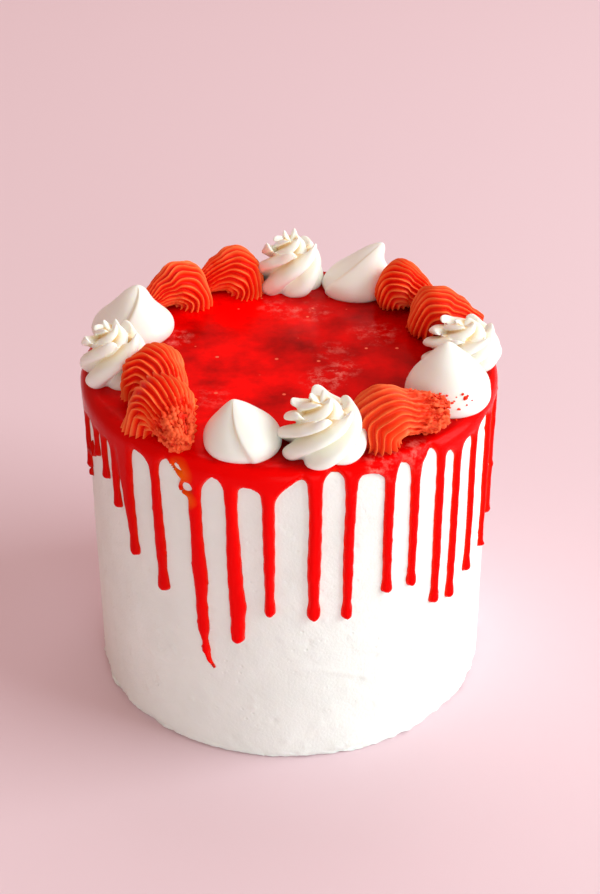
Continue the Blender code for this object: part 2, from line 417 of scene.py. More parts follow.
# %% [markdown]
# ## The red glaze and its drips
#
# The glaze is a coloured jelly that was poured on warm. It set as a sheet with a rounded rim, and where it ran
# over the edge it made drips of many lengths, each ending in a rounded bead. Separate tubes for the drips
# would meet the sheet in hard corners. So the outline is described on the unrolled side of the cake, as
# distances to the hem and to each drip, joined with a smooth minimum that fills the corners as a liquid does.
# A fine grid is then cut to that outline, wrapped round the cake, and given the thickness of a liquid's rim.

# %% The outline on the unrolled side
GIRTH = 2 * math.pi * CAKE_RADIUS / MM
# Each drip is a run of (angle from the front, depth below the top in mm, half width in mm).
FRONT_DRIPS = [
    [(-77, 0, 1.9), (-76, 24, 1.5), (-76, 34, 1.9)],
    [(-66.5, 0, 2.0), (-65.5, 12, 1.5), (-65.2, 20, 1.9)],
    [(-60.5, 0, 2.0), (-60, 17, 1.6), (-59.7, 25.5, 2.2)],
    [(-54.8, 0, 2.6), (-54.2, 16, 1.9), (-54.3, 28, 1.7), (-53.8, 34, 2.3)],
    [(-49.8, 0, 5.2), (-49.3, 14, 4.2), (-48.6, 26, 3.1), (-47.6, 40, 2.4), (-46.9, 50.5, 2.7)],
    [(-38.2, 0, 3.2), (-37.6, 12, 2.0), (-37.2, 26, 2.2), (-36.8, 42, 2.5), (-36.2, 60, 2.8)],
    [(-25.6, 0, 4.2), (-25.2, 16, 2.7), (-24.9, 30, 2.6), (-24.7, 40, 2.9), (-24.5, 46, 3.3), (-24.2, 51, 3.0),
     (-24.2, 60, 2.4), (-23.8, 74, 2.5), (-23.2, 84, 1.7)],
    [(-15.2, 0, 3.2), (-14.9, 20, 2.4), (-14.6, 38, 2.9), (-14.2, 52, 3.0), (-13.7, 60, 3.3), (-13.8, 68, 2.9),
     (-13.9, 75, 2.9)],
    [(-5.2, 0, 3.0), (-5.2, 20, 2.4), (-5.0, 40, 2.2), (-5.0, 61.5, 2.3)],
    [(7.0, 0, 3.0), (7.1, 20, 2.5), (6.8, 42, 2.6), (6.7, 63, 2.7)],
    [(16.6, 0, 2.8), (16.4, 18, 2.1), (16.0, 44, 2.1), (15.7, 64.5, 2.3)],
    [(27.6, 0, 3.2), (27.4, 12, 2.1), (27.3, 36, 2.0), (27.2, 56.5, 2.4)],
    [(35.7, 0, 3.0), (35.4, 14, 2.1), (35.3, 40, 1.8), (35.2, 52, 1.7), (35.2, 57.5, 2.2)],
    [(44.5, 0, 2.5), (44.3, 16, 2.0), (44.2, 50, 1.9), (44.0, 71.5, 2.4)],
    [(51.8, 0, 2.4), (51.4, 18, 1.9), (51.0, 54, 1.8), (50.8, 74, 2.4)],
    [(60.6, 0, 2.4), (60.2, 16, 1.7), (59.9, 56, 1.5), (59.7, 68.5, 2.4)],
    [(72.0, 0, 2.4), (71.8, 20, 1.6), (71.4, 50, 1.4), (71.2, 68, 1.7)],
    [(85.0, 0, 2.4), (85.2, 18, 1.6), (85.6, 46, 1.4), (86, 65, 2.1)],
]
BACK_DRIP_COUNT = 19
# Thin strings and flicks that the knife or the spoon left beside the drips: same form.
FLICKS = [
    [(-23.6, 46, 1.0), (-22.9, 49, 0.7), (-22.2, 52.5, 0.35)],
    [(-23.3, 83, 1.5), (-22.6, 88, 1.1), (-21.6, 91, 0.8), (-21.1, 92.3, 0.7)],
    [(-76.2, 37.2, 0.9), (-76, 39, 1.2)],
    [(-71.5, 21, 1.0), (-69.5, 25, 0.9), (-75, 27, 1.2)],
]
# Where the hem of the sheet hangs between the drips: (angle, depth in mm).
HEM = [(-90, 9), (-84, 11), (-77, 12), (-72, 9), (-66, 9), (-60, 8), (-54, 8), (-45.7, 3.6), (-40, 5),
       (-34, 2.2), (-32.4, 3.0), (-31.2, 5.2), (-29.8, 7.0), (-28.6, 8.4), (-26, 11), (-20, 4.6), (-10, 7.2),
       (-2.8, 9.5), (1.2, 4.5), (3.8, 2.0), (7, 3.0), (12.2, 0.0), (16, 2.4), (20, 3.2), (25, 4.6), (30, 1.6),
       (34, 3.4), (38, 3.0), (41, 1.2), (49.3, 7.2), (58.8, 6.2), (67.3, 5.0), (78, 7), (90, 8)]
# Gaps that never closed where the glaze ran thin: angle, depth, half width, half height and slant, in mm and
# degrees.
HOLES = [(-29.9, 3.9, 1.8, 0.8, 34), (-27.3, 11.4, 2.0, 1.9, 0), (-71.2, 15.5, 1.1, 2.2, 0)]
# A bubble's skin round the round hole: (angle, depth, radius).
SKINS = [(-27.3, 11.4, 3.7)]


def with_bead(run):
    """The run with a neck above its end, where the last of the glaze gathers in a bead, and a rounder tip."""
    (angle_1, depth_1, half_1), (angle, depth, half) = run[-2:]
    neck_depth = depth - 2.6 * half
    share = (neck_depth - depth_1) / (depth - depth_1)
    neck = (angle_1 + (angle - angle_1) * share, neck_depth, 0.8 * min(half, half_1 + (half - half_1) * share))
    tip = (angle, depth + 0.45 * half, 0.62 * half)
    return run[:-1] + ([neck] if share > 0.2 else []) + [(angle, depth, half), tip]


def back_drips():
    """Drips round the back. They are guessed: random ones, no longer than the longest at the front."""
    drip_random = random.Random(5)
    drips = []
    for i in range(BACK_DRIP_COUNT):
        angle = 94 + 180 * (i + 0.5) / BACK_DRIP_COUNT + drip_random.uniform(-2.2, 2.2)
        length = drip_random.uniform(34, 84)
        half = drip_random.uniform(1.7, 2.6)
        lean = drip_random.uniform(-0.6, 0.6)
        bead = half * drip_random.uniform(1.02, 1.25)
        drips.append([(angle, 0, half + 0.9), (angle, length * 0.25, half),
                      (angle + lean, length * 0.8, half * 0.92), (angle + lean, length - bead, bead)])
    return drips


DRIPS = [with_bead(run) for run in FRONT_DRIPS + back_drips()]
hem_random = random.Random(8)
BACK_HEM = [(angle, hem_random.uniform(3, 9)) for angle in range(97, 270, 7)]
hem_angles = np.array([a for a, _ in HEM + BACK_HEM], float)
hem_depths = np.array([d for _, d in HEM + BACK_HEM], float)


def wrapped(offset):
    """The shortest way round, in mm."""
    return (offset + GIRTH / 2) % GIRTH - GIRTH / 2


def run_distance(around, depth, run):
    """Distance to a run of round cones, below zero inside."""
    least = np.full(around.shape, 1e3)
    for (angle_1, depth_1, half_1), (angle_2, depth_2, half_2) in zip(run, run[1:]):
        start = angle_1 / 360 * GIRTH
        step = np.array([(angle_2 - angle_1) / 360 * GIRTH, depth_2 - depth_1])
        offset = wrapped(around - start)
        share = np.clip((offset * step[0] + (depth - depth_1) * step[1]) / (step @ step), 0, 1)
        smooth = share * share * (3 - 2 * share)
        distance = np.hypot(offset - share * step[0], depth - depth_1 - share * step[1])
        least = np.minimum(least, distance - (half_1 + (half_2 - half_1) * smooth))
    return least


def smooth_least(first, second, reach):
    """The lesser of two distances, with the corner between them filled over that reach."""
    mix = np.clip(0.5 + 0.5 * (second - first) / reach, 0, 1)
    return second * (1 - mix) + first * mix - reach * mix * (1 - mix)


def hem_depth(around):
    degrees = (around / GIRTH * 360 + 90) % 360 - 90
    return np.interp(degrees, hem_angles, hem_depths, period=360)


def outline(around, depth):
    """How far inside the glaze's outline each point is, in mm, below zero outside."""
    distance = depth - hem_depth(around)
    for drip in DRIPS:
        distance = smooth_least(distance, run_distance(around, depth, drip), 4.2)
    for flick in FLICKS:
        distance = smooth_least(distance, run_distance(around, depth, flick), 0.8)
    for angle, skin_depth, radius in SKINS:
        skin = np.hypot(wrapped(around - angle / 360 * GIRTH), depth - skin_depth) - radius
        distance = smooth_least(distance, skin, 1.0)
    for angle, hole_depth, half_width, half_height, slant in HOLES:
        offset, drop = wrapped(around - angle / 360 * GIRTH), depth - hole_depth
        turn = math.radians(slant)
        along = offset * math.cos(turn) + drop * math.sin(turn)
        across = drop * math.cos(turn) - offset * math.sin(turn)
        hole = (np.hypot(along / half_width, across / half_height) - 1) * min(half_width, half_height)
        distance = np.maximum(distance, -hole)
    wobble = 0.16 * np.sin(around * 1.1 + depth * 0.35) * np.sin(depth * 0.47 + around * 0.3)
    return -distance + wobble * np.clip(depth / 10, 0, 1)


print("drips:", len(DRIPS), "girth:", round(GIRTH, 1), "mm")

# %% From the unrolled grid to the cake
COLUMNS = 960
ROW_STEP = 0.66
FLAT_RADIUS = (CAKE_RADIUS - EDGE_ROUND) / MM
ROUND_LENGTH = EDGE_ROUND / MM * math.pi / 2
DEPTH_OFFSET = EDGE_ROUND / MM * (math.pi / 2 - 1)
INNER_RADIUS = 60.5
TOP_THICKNESS = (GLAZE_TOP - CAKE_HEIGHT) / MM
RIM_WIDTH = 2.5


def on_cake(around, path, lift):
    """Points in metres from the distance round, the path length over the edge, and a lift, all in mm."""
    angles = around / GIRTH * 2 * math.pi
    bend = np.clip(path / (EDGE_ROUND / MM), 0, math.pi / 2)
    drop = np.maximum(path - ROUND_LENGTH, 0)
    radius = FLAT_RADIUS + np.minimum(path, 0) + (EDGE_ROUND / MM + lift) * np.sin(bend)
    height = CAKE_HEIGHT / MM - EDGE_ROUND / MM + (EDGE_ROUND / MM + lift) * np.cos(bend) - drop
    return np.stack([radius * np.sin(angles), -radius * np.cos(angles), height], 1) * MM


def glaze_thickness(around, path, inside):
    """A liquid's section: thin at the rim, then full, and a little fuller in the drips and their beads."""
    depth = path - DEPTH_OFFSET
    full = TOP_THICKNESS + 0.25 * np.clip((depth - 8) / 15, 0, 1)
    for drip in DRIPS:
        angle, end_depth, half = drip[-1]
        offset = wrapped(around - angle / 360 * GIRTH)
        bead = np.exp(-((offset**2 + (depth - end_depth) ** 2) / (half * 1.5) ** 2))
        full = full + 0.45 * bead * (end_depth > 18)
    edge = np.clip(inside / RIM_WIDTH, 0, 1)
    return full * np.sqrt(1 - (1 - edge) ** 2)


rows = np.arange(INNER_RADIUS - FLAT_RADIUS, 100, ROW_STEP)
grid_around, grid_path = np.meshgrid(np.arange(COLUMNS) * GIRTH / COLUMNS, rows, indexing="ij")
around, path = grid_around.ravel(), grid_path.ravel()
inside = outline(around, path - DEPTH_OFFSET)
print("grid:", grid_around.shape, "inside:", int((inside > 0).sum()))

# %% Cut the grid to the outline
inside_grid = inside.reshape(grid_around.shape)
next_column = np.roll(inside_grid, -1, 0)
kept = (inside_grid[:, :-1] + inside_grid[:, 1:] + next_column[:, :-1] + next_column[:, 1:]) / 4 > 0.05
corner_ids = np.arange(COLUMNS * len(rows)).reshape(COLUMNS, len(rows))
right_ids = np.roll(corner_ids, -1, 0)
quads = np.stack([corner_ids[:, :-1], corner_ids[:, 1:], right_ids[:, 1:], right_ids[:, :-1]], 2)
inner_ring = corner_ids[:, 0]
kept_quads, cut_quads = quads[kept], quads[~kept]
on_rim = np.zeros(around.shape, bool)
on_rim[np.intersect1d(kept_quads, cut_quads)] = True


def snap_to_outline(around, path, chosen):
    """Slides the chosen vertices along the distance's slope until they lie on the outline."""
    step = 0.05
    limit = 0.8 * ROW_STEP
    start_around, start_path = around[chosen].copy(), path[chosen].copy()
    for _ in range(4):
        a, d = around[chosen], path[chosen] - DEPTH_OFFSET
        value = outline(a, d)
        slope = np.stack([outline(a + step, d) - value, outline(a, d + step) - value]) / step
        slope /= np.maximum(np.hypot(*slope), 0.3)
        around[chosen] = np.clip(a - value * slope[0], start_around - limit, start_around + limit)
        path[chosen] = np.clip(path[chosen] - value * slope[1], start_path - limit, start_path + limit)


snap_to_outline(around, path, on_rim)
inside = outline(around, path - DEPTH_OFFSET)
inside[on_rim] = 0
print("rim vertices:", int(on_rim.sum()), "cells kept:", len(kept_quads))

# %% Thicken the pinched places
# The upper and the under side share the rim's vertices. An inside edge or a cell with no other vertices would
# have no thickness, so it gets a vertex in its middle.
edges = np.sort(np.stack([kept_quads, np.roll(kept_quads, -1, 1)], 2).reshape(-1, 2), 1)
edges, uses = np.unique(edges[on_rim[edges].all(1)], axis=0, return_counts=True)
necks = edges[uses == 2]
all_on_rim = on_rim[kept_quads].all(1)
pinched = kept_quads[all_on_rim]
middle_ids = len(around) + np.arange(len(necks) + len(pinched))
neck_middles = {tuple(edge): middle for edge, middle in zip(necks.tolist(), middle_ids.tolist())}


def middles(groups):
    """Places round and in of the middle of each row of vertex ids."""
    first = around[groups[:, :1]]
    return np.stack([(first + wrapped(around[groups] - first)).mean(1), path[groups].mean(1)], 1)


def split_necks(face):
    """The face's vertex ids, with the middle vertex put into each of its edges that is a neck."""
    ring = []
    for a, b in zip(face, face[1:] + face[:1]):
        ring.append(a)
        if (min(a, b), max(a, b)) in neck_middles:
            ring.append(neck_middles[min(a, b), max(a, b)])
    return ring


sheet_faces = kept_quads[~all_on_rim].tolist()
for quad, middle in zip(pinched.tolist(), middle_ids[len(necks) :].tolist()):
    sheet_faces += [[a, b, middle] for a, b in zip(quad, quad[1:] + quad[:1])]
sheet_faces = [split_necks(face) for face in sheet_faces]
middle_places = np.concatenate([middles(necks), middles(pinched)])
around = np.concatenate([around, middle_places[:, 0]])
path = np.concatenate([path, middle_places[:, 1]])
middle_inside = outline(middle_places[:, 0], middle_places[:, 1] - DEPTH_OFFSET)
inside = np.concatenate([inside, np.maximum(middle_inside, 0.15)])
on_rim = np.concatenate([on_rim, np.zeros(len(middle_places), bool)])
print("necks:", len(necks), "pinched cells:", len(pinched))

# %% The flat middle of the sheet
# Its rings lose half of their columns where they would crowd towards the centre.
CENTRE_RINGS = [(59.2 - 1.4 * i, 480) for i in range(18)]
CENTRE_RINGS += [(34.0 - 1.5 * i, 240) for i in range(11)] + [(17.5 - 1.6 * i, 120) for i in range(10)]


def join_rings(outer, inner):
    """Faces between two rings of vertex ids, where the inner ring may have half as many."""
    faces = []
    for i in range(len(inner)):
        near, far = inner[i], inner[(i + 1) % len(inner)]
        if len(outer) == len(inner):
            faces.append((near, outer[i], outer[(i + 1) % len(outer)], far))
        else:
            first, middle, last = outer[2 * i], outer[2 * i + 1], outer[(2 * i + 2) % len(outer)]
            faces += [(near, first, middle), (near, middle, far), (far, middle, last)]
    return faces


def centre_of_sheet(first_id):
    """Places round and in for every ring of the middle, and the faces that fill it."""
    places, faces, outer = [], [], list(inner_ring)
    for radius, columns in CENTRE_RINGS:
        ring = [first_id + len(places) + i for i in range(columns)]
        places += [(i * GIRTH / columns, radius - FLAT_RADIUS) for i in range(columns)]
        faces += join_rings(outer, ring)
        outer = ring
    middle = first_id + len(places)
    places.append((0.0, -FLAT_RADIUS))
    faces += [(middle, a, b) for a, b in zip(outer, outer[1:] + outer[:1])]
    return np.array(places), faces


centre_places, centre_faces = centre_of_sheet(len(around))
around = np.concatenate([around, centre_places[:, 0]])
path = np.concatenate([path, centre_places[:, 1]])
inside = np.concatenate([inside, np.full(len(centre_places), 60.0)])
on_rim = np.concatenate([on_rim, np.zeros(len(centre_places), bool)])
print("middle faces:", len(centre_faces))

# %% Wrap the sheet round the cake and give it its thickness
UNDER_SHEET_SHARE = 0.45


def thin_under_sheet(glaze, hidden):
    """Nobody sees the under side, so a Decimate modifier keeps only part of its faces."""
    group = glaze.vertex_groups.new(name="under_sheet")
    group.add([int(i) for i in hidden], 1.0, "REPLACE")
    modifier = glaze.modifiers.new("thin", "DECIMATE")
    modifier.ratio = UNDER_SHEET_SHARE
    modifier.vertex_group = group.name
    bpy.ops.object.modifier_apply(modifier=modifier.name)
    glaze.vertex_groups.clear()


def make_glaze():
    used = np.zeros(len(around), bool)
    used[kept_quads.ravel()] = True
    used[middle_ids] = True
    used[len(inside) - len(centre_places) :] = True
    thickness = glaze_thickness(around, path, inside)
    flat = on_cake(around, path, np.zeros(len(path)))
    angles = around / GIRTH * 2 * math.pi
    relief = np.zeros(len(path))
    relief[used] = side_relief(angles[used], flat[used][:, 2]) / MM
    relief *= np.clip(path / ROUND_LENGTH, 0, 1)
    waves = np.zeros(len(path))
    waves[used] = 0.16 * rough(flat[used], 17 * MM, 4.0) + 0.05 * rough(flat[used], 5 * MM, 7.0)
    waves *= np.clip(inside / 3, 0, 1)
    outer = on_cake(around, path, relief + np.where(on_rim, -0.12, thickness + waves))
    inner = on_cake(around, path, np.full(len(path), -0.5))
    total = len(path)
    under = np.where(on_rim, np.arange(total), np.arange(total) + total)
    faces = sheet_faces + centre_faces
    below = [tuple(int(under[i]) for i in reversed(face)) for face in faces]
    numbers = np.full(2 * total, -1)
    both = np.concatenate([used, used & ~on_rim])
    numbers[both] = np.arange(both.sum())
    points = np.concatenate([outer, inner])[both]
    mesh = bpy.data.meshes.new("red_glaze_sheet")
    mesh.from_pydata(points.tolist(), [], [[int(numbers[i]) for i in face] for face in faces + below])
    glaze = bpy.data.objects.new("red_glaze_sheet", mesh)
    bpy.context.scene.collection.objects.link(glaze)
    depth = np.concatenate([np.where(on_rim, 0, thickness), np.zeros(total)])[both]
    store_numbers(glaze, "thickness", depth / TOP_THICKNESS)
    deselect_all()
    glaze.select_set(True)
    bpy.context.view_layer.objects.active = glaze
    thin_under_sheet(glaze, np.nonzero(np.arange(both.sum()) >= used.sum())[0])
    finish_mesh(glaze, 0)
    return glaze


glaze = make_glaze()
print("glaze vertices:", len(glaze.data.vertices))

# %% [markdown]
# ## The glaze as a material
#
# The glaze is a red pectin jelly, clear enough that it looks deep where it is thick and turns orange red where
# it is thin. It is wet and smooth, so it has a small sharp sheen. On the flat top the cream shows through here
# and there in paler smears, and there are bubbles a little over a millimetre across. Light isn't sent through
# the jelly: the orange of its thin places is a colour that is mixed in. Painted light is mixed in too: painted
# shade towards +X on the top and towards -X on the side, and painted highlights on the front rim.


# %% Red jelly glaze
def on_side(degrees, depth):
    """A point in metres on the side, by its angle from the front and its depth in mm below the top."""
    angle = math.radians(degrees)
    return (CAKE_RADIUS * math.sin(angle), -CAKE_RADIUS * math.cos(angle), CAKE_HEIGHT - depth * MM)


# Where the jelly is a thin skin: its middle and its reach.
THIN_SPOTS = [(on_side(-29.2, 5.5), 6.5 * MM), (on_side(-27.2, 16), 5.0 * MM)]
# Where cream shows through on the top, and painted highlights on the front rim: the middle and the reach in
# metres, and how strongly.
PALE_SMEARS_AND_HIGHLIGHTS = [
    ((-0.004, 0.042, GLAZE_TOP), 0.011, 0.5),
    ((0.009, 0.040, GLAZE_TOP), 0.010, 0.45),
    ((0.014, -0.016, GLAZE_TOP), 0.011, 0.75),
    ((0.021, -0.008, GLAZE_TOP), 0.008, 0.7),
    ((0.034, 0.021, GLAZE_TOP), 0.012, 0.4),
    ((0.017, 0.006, GLAZE_TOP), 0.010, 0.3),
    ((-0.046, 0.017, GLAZE_TOP), 0.009, 0.6),
    ((-0.030, -0.030, GLAZE_TOP), 0.010, 0.3),
    # Painted highlights: pale glints along the front rim, on the side towards the light.
    (on_side(26, 0.5), 0.009, 0.6),
    (on_side(36, 1.5), 0.008, 0.6),
    (on_side(22, 3.0), 0.004, 0.8),
]


def blotch(tree, place, colour_below, centre, reach, core, strength, tint, mask=None):
    """Mixes a tint into the colour round one point, full within the core's share of the reach."""
    away = add_node(tree, "ShaderNodeVectorMath", {0: place}, {1: centre}, operation="DISTANCE")
    near = add_node(tree, "ShaderNodeMapRange", {"Value": away.outputs["Value"]},
                    {"From Min": reach, "From Max": core * reach, "To Max": strength})
    amount = near.outputs["Result"]
    if mask:
        amount = add_node(tree, "ShaderNodeMath", {0: mask, 1: amount}, operation="MULTIPLY").outputs["Value"]
    mixed = add_node(tree, "ShaderNodeMix", {"Factor": amount, "A": colour_below}, {"B": linear(tint)},
                     data_type="RGBA")
    return mixed.outputs["Result"]


def make_jelly():
    material, tree, output = new_material("red_jelly_glaze")
    place = add_node(tree, "ShaderNodeTexCoord").outputs["Object"]
    thickness = add_node(tree, "ShaderNodeAttribute", attribute_name="thickness").outputs["Fac"]
    deep = add_node(tree, "ShaderNodeValToRGB", {"Fac": thickness},
                    stops=[(0.0, "#FF3008"), (0.45, "#FF0E04"), (1.0, "#FA0202")])
    # Mottling: clouds of about 26 mm, with finer ones inside, darken the flat top.
    cloud = add_node(tree, "ShaderNodeTexNoise", {"Vector": place},
                     {"Scale": 38.0, "Detail": 5.0, "Roughness": 0.6})
    dark = add_node(tree, "ShaderNodeValToRGB", {"Fac": cloud.outputs["Fac"]},
                    stops=[(0.30, "#960000"), (0.46, "#D20000"), (0.62, "#FA0000")])
    spot = add_node(tree, "ShaderNodeSeparateXYZ", {"Vector": place})
    flat_top = add_node(tree, "ShaderNodeMapRange", {"Value": spot.outputs["Z"]},
                        {"From Min": CAKE_HEIGHT + 0.4 * MM, "From Max": CAKE_HEIGHT + 1.5 * MM})
    # Painted shade: the top is painted darker towards +X, for the shadow that the toppings on that side cast
    # across it. Whether the glaze is deeper there or only less lit isn't known.
    painted_shade_top = add_node(tree, "ShaderNodeMapRange", {"Value": spot.outputs["X"]},
                    {"From Min": -45 * MM, "From Max": 55 * MM, "To Min": 1.3, "To Max": 0.6})
    shaded_top_colour = add_node(tree, "ShaderNodeVectorMath",
                      {0: dark.outputs["Color"], "Scale": painted_shade_top.outputs["Result"]}, operation="SCALE")
    body_colour = add_node(tree, "ShaderNodeMix",
                           {"Factor": flat_top.outputs["Result"], "A": deep.outputs["Color"],
                            "B": shaded_top_colour.outputs["Vector"]}, data_type="RGBA")
    # Painted shade: the side is painted darker towards -X, the side that turns away from the light.
    # The side is darker towards -X, for the same look and with the same doubt.
    painted_shade_side = add_node(tree, "ShaderNodeMapRange", {"Value": spot.outputs["X"]},
                         {"From Min": -80 * MM, "From Max": -25 * MM, "To Min": 0.62, "To Max": 1.0})
    shaded = add_node(tree, "ShaderNodeVectorMath",
                      {0: body_colour.outputs["Result"], "Scale": painted_shade_side.outputs["Result"]},
                      operation="SCALE")
    # Round the holes the jelly is a thin skin, orange and clear.
    colour = shaded.outputs["Vector"]
    for centre, reach in THIN_SPOTS:
        colour = blotch(tree, place, colour, centre, reach, 0.3, 0.85, "#FF6A08")
    # Pale streaks of about 4 mm and finer, gathered in a few places: smears of cream under the jelly on the top,
    # and painted highlights on the front rim.
    streaks = add_node(tree, "ShaderNodeTexNoise", {"Vector": place},
                       {"Scale": 230.0, "Detail": 7.0, "Roughness": 0.72})
    streak_mask = add_node(tree, "ShaderNodeMapRange", {"Value": streaks.outputs["Fac"]},
                           {"From Min": 0.49, "From Max": 0.68})
    for centre, reach, strength in PALE_SMEARS_AND_HIGHLIGHTS:
        colour = blotch(tree, place, colour, centre, reach, 0.5, strength, "#F08478",
                        streak_mask.outputs["Result"])
    # Bubbles of about 1.4 mm on the top, at most one in each cell of 8 mm.
    bubbles = add_node(tree, "ShaderNodeTexVoronoi", {"Vector": place}, {"Scale": 120.0})
    bubble_mask = add_node(tree, "ShaderNodeMapRange", {"Value": bubbles.outputs["Distance"]},
                           {"From Min": 0.10, "From Max": 0.07})
    on_top = add_node(tree, "ShaderNodeMath",
                      {0: bubble_mask.outputs["Result"], 1: flat_top.outputs["Result"]}, operation="MULTIPLY")
    bubbled = add_node(tree, "ShaderNodeMix", {"Factor": on_top.outputs["Value"], "A": colour},
                       {"B": linear("#F06A50")}, data_type="RGBA")
    # 160 per metre is a ripple of 6 mm.
    ripple = add_node(tree, "ShaderNodeTexNoise", {"Vector": place}, {"Scale": 160.0, "Detail": 3.0})
    bump = add_node(tree, "ShaderNodeBump", {"Height": ripple.outputs["Fac"]},
                    {"Strength": 0.25, "Distance": 0.0003})
    shader = add_node(tree, "ShaderNodeBsdfPrincipled",
                      {"Base Color": bubbled.outputs["Result"], "Normal": bump.outputs["Normal"]},
                      {"Roughness": 0.2, "IOR": 1.4, "Specular IOR Level": 0.07})
    tree.links.new(shader.outputs["BSDF"], output.inputs["Surface"])
    return material


finish_piece(glaze, make_jelly(), "red_glaze", "glaze")

# %% [markdown]
# ## Places of the toppings
#
# Each topping is modelled upright at the origin in its real size, then moved to the middle of its packed
# solid's box. It is pressed half a millimetre into the glaze, as soft cream is.

# %% Place a topping
PRESSED_IN = 0.5 * MM


def box_of(node):
    """The middle, width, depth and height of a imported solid."""
    low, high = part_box(node)
    return (low + high) / 2, high.x - low.x, high.y - low.y, high.z - low.z


def stand_on_glaze(piece, node, heading=0.0):
    """Turns a topping to its heading and moves it to its place, and writes both into its mesh."""
    middle = box_of(node)[0]
    turn = Matrix.Rotation(math.radians(heading), 4, "Z")
    move = Matrix.Translation((middle.x, middle.y, GLAZE_TOP - PRESSED_IN))
    piece.data.transform(move @ turn)
    piece.data.update()


print("rosette_3 box:", [round(v / MM, 1) for v in box_of("rosette_3")[1:]])

# %% [markdown]
# ## White rosettes
#
# A rosette is piped in one place with an open star nozzle: the bag is pressed, turned, and pulled up sharply.
# So it is a star in section, with fat arms and deep grooves, that twists and narrows upwards and tears off in
# uneven points. Here it is two stars: a wide open cup of five or six arms, and a narrower bud of four inside
# it. Each is drawn once as a ring, and the extrusions do what the hand does. A Remesh modifier then makes one
# skin of the two, because two overlapping skins would leave hidden walls inside.

# %% Model the rosettes
ARM_COLUMNS = 8
ARM_SECTION = [0.66, 0.83, 0.95, 1.0, 1.01, 1.0, 0.95, 0.83]
# Height and radius of each ring as shares of the whole, and the share of the twist that comes before it.
CUP_RINGS = [(0.03, 0.93, 0.02), (0.09, 1.0, 0.06), (0.17, 1.02, 0.13), (0.26, 1.01, 0.22), (0.35, 0.99, 0.34),
             (0.44, 0.96, 0.47), (0.52, 0.92, 0.61), (0.60, 0.87, 0.75), (0.67, 0.80, 0.90)]
BUD_RINGS = [(0.46, 1.0, 0.05), (0.53, 1.03, 0.13), (0.60, 1.0, 0.24), (0.66, 0.93, 0.37), (0.72, 0.84, 0.51),
             (0.77, 0.73, 0.66), (0.81, 0.61, 0.81), (0.84, 0.48, 0.94)]
BUD_SHARE = 0.57
# How the cream folds in behind the torn end: the growth and the drop, as a share of the height, of each ring.
CUP_FOLD = [(0.86, 0.06), (0.86, 0.10), (0.7, 0.06), (0.4, 0.01)]
BUD_FOLD = [(0.6, 0.08), (0.3, 0.05)]
# node: arms of the cup and of the bud, their twists in degrees, heading of the lean, lean in mm, widening,
# seed
ROSETTES = {
    "rosette_1": (5, 4, 130, 150, 60, 1.5, 1.12, 1),
    "rosette_2": (6, 4, 130, 150, 20, 1.0, 1.16, 2),
    "rosette_3": (6, 4, 140, 150, 110, 1.5, 1.12, 3),
    "rosette_4": (5, 4, 130, 150, 150, 1.5, 1.12, 4),
}


def pipe_star(name, arms, radius, height, rings, fold, foot, twist, reach, turned, draw):
    """One twisted star of cream: rings up to its torn end, then rings down into its hollow middle."""
    sides = arms * ARM_COLUMNS
    arm_sizes = [draw.uniform(0.93, 1.05) for _ in range(arms)]
    arm_points = [draw.uniform(*reach) for _ in range(arms)]

    def star(around, place):
        column = round(around * sides)
        factor = ARM_SECTION[column % ARM_COLUMNS] * arm_sizes[column // ARM_COLUMNS % arms]
        skew = math.radians(60 / arms) * math.sin(math.pi * (column % ARM_COLUMNS) / ARM_COLUMNS)
        turn = Matrix.Rotation(skew + math.radians(turned), 4, "Z")
        return turn @ Vector((place.x * factor, place.y * factor, place.z))

    def deepen(around, place):
        """Draws the grooves in towards the axis."""
        near = {0: 0.95, 1: 0.985, ARM_COLUMNS - 1: 0.985}.get(round(around * sides) % ARM_COLUMNS, 1.0)
        return Vector((place.x * near, place.y * near, place.z))

    def tear(around, place):
        """Pulls each arm's end up to its own point."""
        column = round(around * sides)
        crest = math.sin(math.pi * (column % ARM_COLUMNS) / ARM_COLUMNS) ** 2
        rise = arm_points[column // ARM_COLUMNS % arms] * height * crest
        return Vector((place.x, place.y, place.z + rise - 0.06 * height * (1 - crest)))

    foot_height, foot_share = foot
    piece = start_ring(name, sides, radius * foot_share, (0, 0, foot_height * height))
    shape_ring(piece, star)
    last_height, last_share, last_turn = foot_height, foot_share, 0.0
    for ring_height, share, turn_share in rings:
        grow = share / last_share
        extrude_ring(
            piece,
            ring_height,
            slide=(0, 0, (ring_height - last_height) * height),
            centre=(0, 0, ring_height * height),
            grow=(grow, grow, 1),
            turns=[("Z", twist * (turn_share - last_turn))],
        )
        shape_ring(piece, deepen)
        last_height, last_share, last_turn = ring_height, share, turn_share
    top = (last_height + 0.03) * height
    extrude_ring(piece, 1.0, slide=(0, 0, 0.03 * height), centre=(0, 0, top), grow=(0.94, 0.94, 1),
                 turns=[("Z", twist * 0.06)])
    shape_ring(piece, tear)
    for grow, drop in fold:
        extrude_ring(piece, 0.95, slide=(0, 0, -drop * height), centre=(0, 0, top), grow=(grow, grow, 0.5))
        top -= drop * height
    finish_mesh(piece, 2)
    # Where the grooves are: the cream's material paints a straw-coloured shade there.
    phase = numbers_of(piece, "around") * arms
    groove = np.abs(np.cos(np.pi * phase)) ** 4
    store_numbers(piece, "hollow", groove * np.clip(numbers_of(piece, "along") * 1.8 - 0.15, 0, 1))
    return piece


